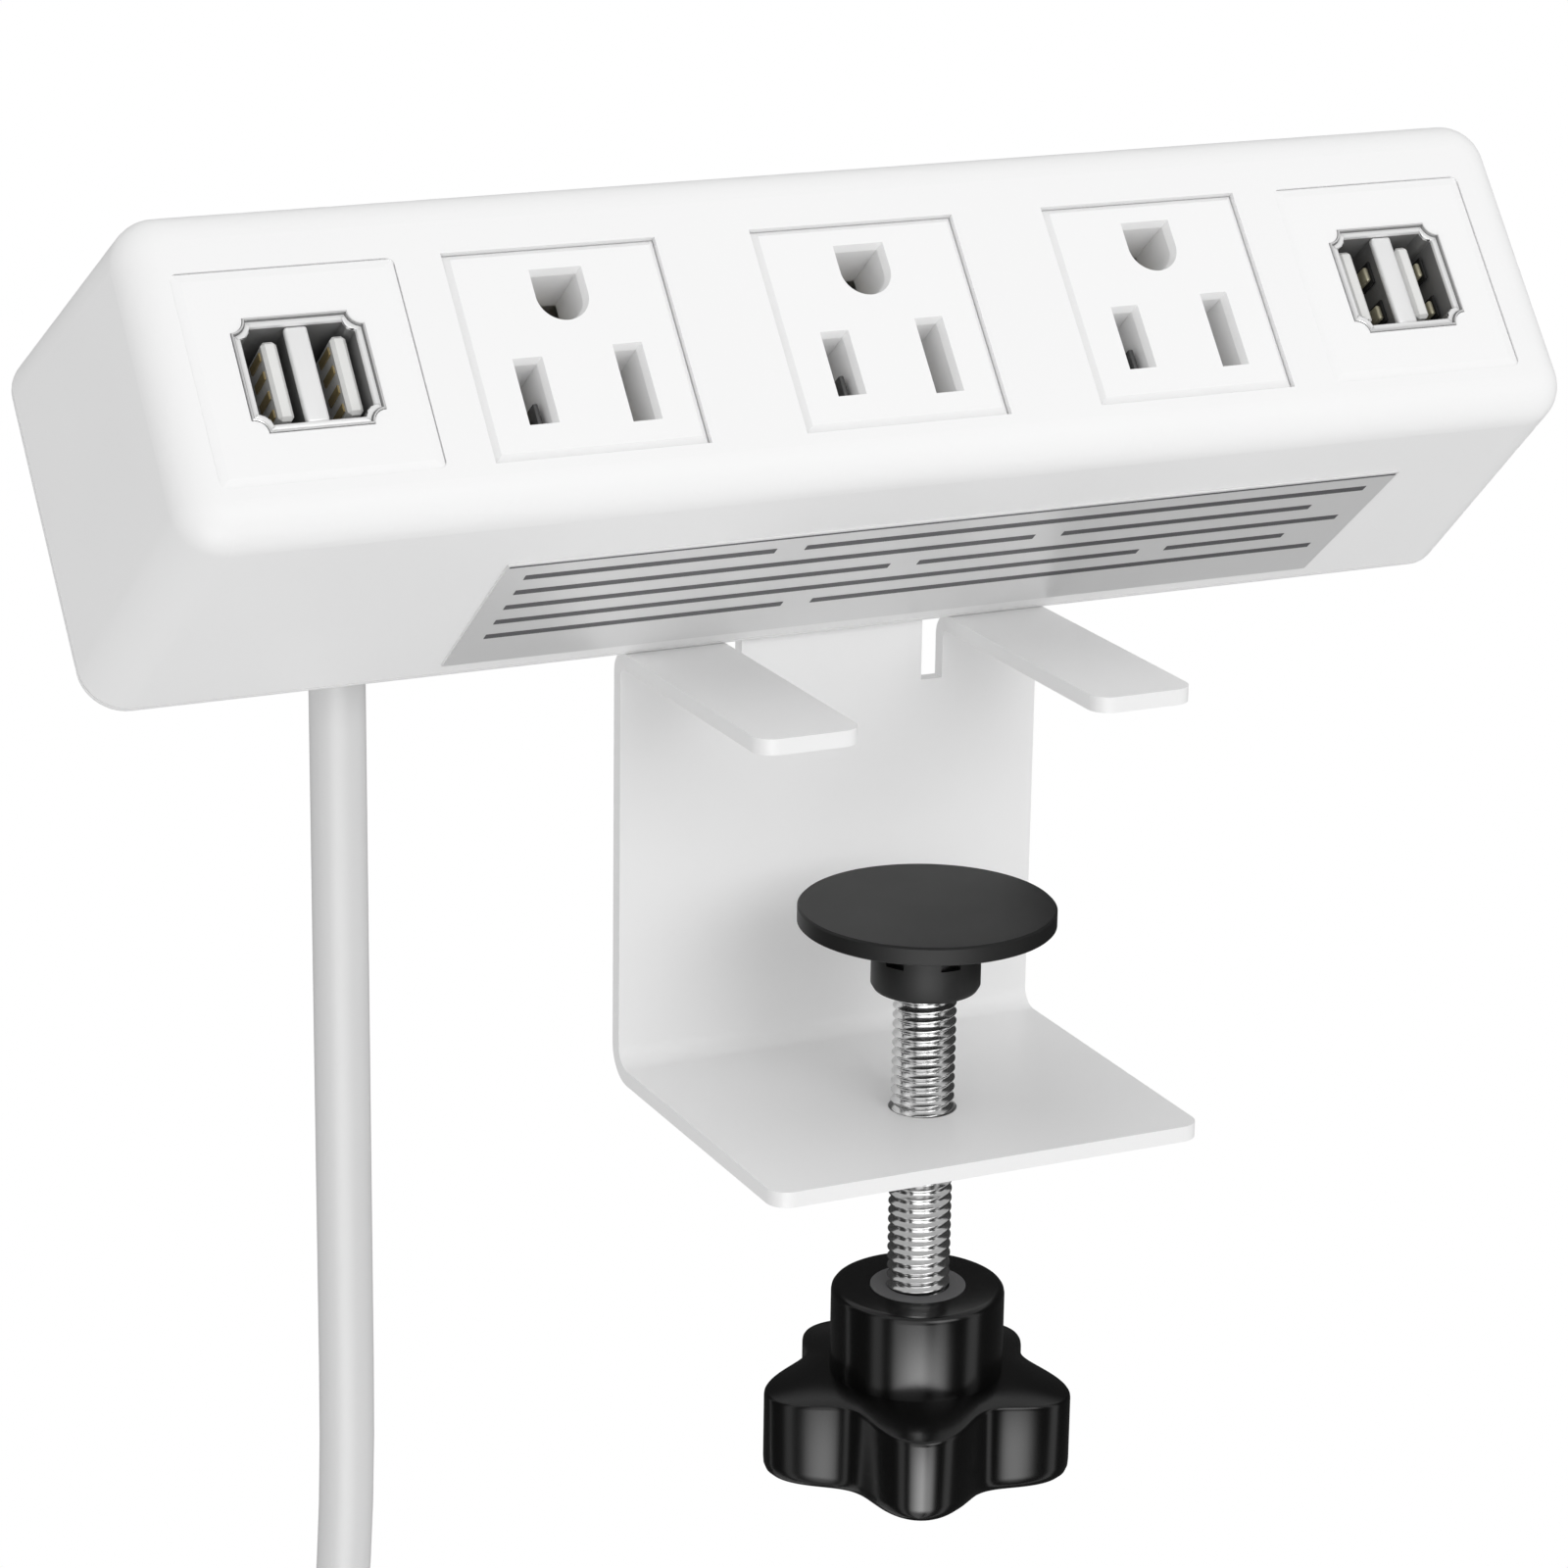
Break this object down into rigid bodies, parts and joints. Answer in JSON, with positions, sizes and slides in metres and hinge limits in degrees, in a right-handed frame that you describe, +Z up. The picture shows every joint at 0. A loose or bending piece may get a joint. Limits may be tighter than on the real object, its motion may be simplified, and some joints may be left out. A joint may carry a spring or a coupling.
{
  "type": "desk power strip",
  "caption": "White desk-edge power strip: sloping housing with grounded outlets and USB ports on a bent steel clamp bracket with a screw, pad and star knob; cord at the back.",
  "frame": {"origin": "on the bracket plate face that meets the back edge of the desk, at the middle of the bracket, level with the desk top", "axes": "+X along the strip, to the right of the person at the desk; +Y away from that person; +Z up"},
  "size_m": [0.2013, 0.0757, 0.4253],
  "materials": {
    "housing_white": "satin",
    "label_silver": "satin",
    "bracket_white": "satin powder coat",
    "zinc_steel": "bright",
    "pad_black": "matt",
    "knob_black": "glossy",
    "insert_grey": "matt",
    "usb_steel": "satin",
    "usb_tongue": "matt",
    "gold_contact": "bright",
    "board_green": "satin",
    "bus_brass": "satin",
    "ferrite": "matt",
    "copper_wire": "satin",
    "black_part": "matt",
    "fuse_glass": "clear",
    "cord_white": "satin",
    "lead_green": "satin",
    "lead_red": "satin"
  },
  "bodies": {
    "strip": {"board_chips": "black_part", "board_fuse": "fuse_glass", "bracket_screws": "zinc_steel", "capacitors": "black_part", "clamp_bracket": "bracket_white", "clamp_nut": "zinc_steel", "cord_coil": "cord_white", "cord_tail": "cord_white", "cord_tie": "cord_white", "cover_screws": "zinc_steel", "earth_bus_bar": "bus_brass", "earth_lead": "lead_green", "front_housing": "housing_white", "label_plate": "label_silver", "line_bus_bar": "bus_brass", "line_lead": "black_part", "neutral_bus_bar": "bus_brass", "neutral_lead": "cord_white", "outlet_insert_1": "housing_white", "outlet_insert_2": "housing_white", "outlet_insert_3": "housing_white", "plug_blades": "bus_brass", "plug_body": "cord_white", "plug_ground_pin": "bus_brass", "power_board": "board_green", "power_cord": "cord_white", "rear_cover": "housing_white", "strain_relief": "cord_white", "transformer_core": "ferrite", "transformer_winding": "copper_wire", "usb_board_left": "board_green", "usb_board_right": "board_green", "usb_contacts_left": "gold_contact", "usb_contacts_right": "gold_contact", "usb_leads": "lead_red", "usb_plate_left": "housing_white", "usb_plate_right": "housing_white", "usb_shell_left": "usb_steel", "usb_shell_right": "usb_steel", "usb_tongues_left": "usb_tongue", "usb_tongues_right": "usb_tongue"},
    "carriage": {"swivel_clip": "zinc_steel"},
    "screw": {"clamp_screw": "zinc_steel", "star_knob": "knob_black", "knob_insert": "insert_grey"},
    "pad": {"pad_disc": "pad_black"}
  },
  "joints": [
    {"name": "clamp_travel", "type": "slide", "parent": "strip", "child": "carriage", "axis": [0, 0, 1], "range_m": [-0.0155, 0.0165]},
    {"name": "screw_turn", "type": "hinge", "parent": "carriage", "child": "screw", "pos_m": [0, -0.0279, -0.0526], "axis": [0, 0, 1], "range_deg": [-4460, 4750]},
    {"name": "pad_swivel", "type": "hinge", "parent": "carriage", "child": "pad", "pos_m": [0, -0.0279, -0.033], "axis": [0, 0, 1], "continuous": true}
  ],
  "couplings": [
    {"joint": "clamp_travel", "follows": "screw_turn", "m_per_rad": 0.00019894}
  ]
}
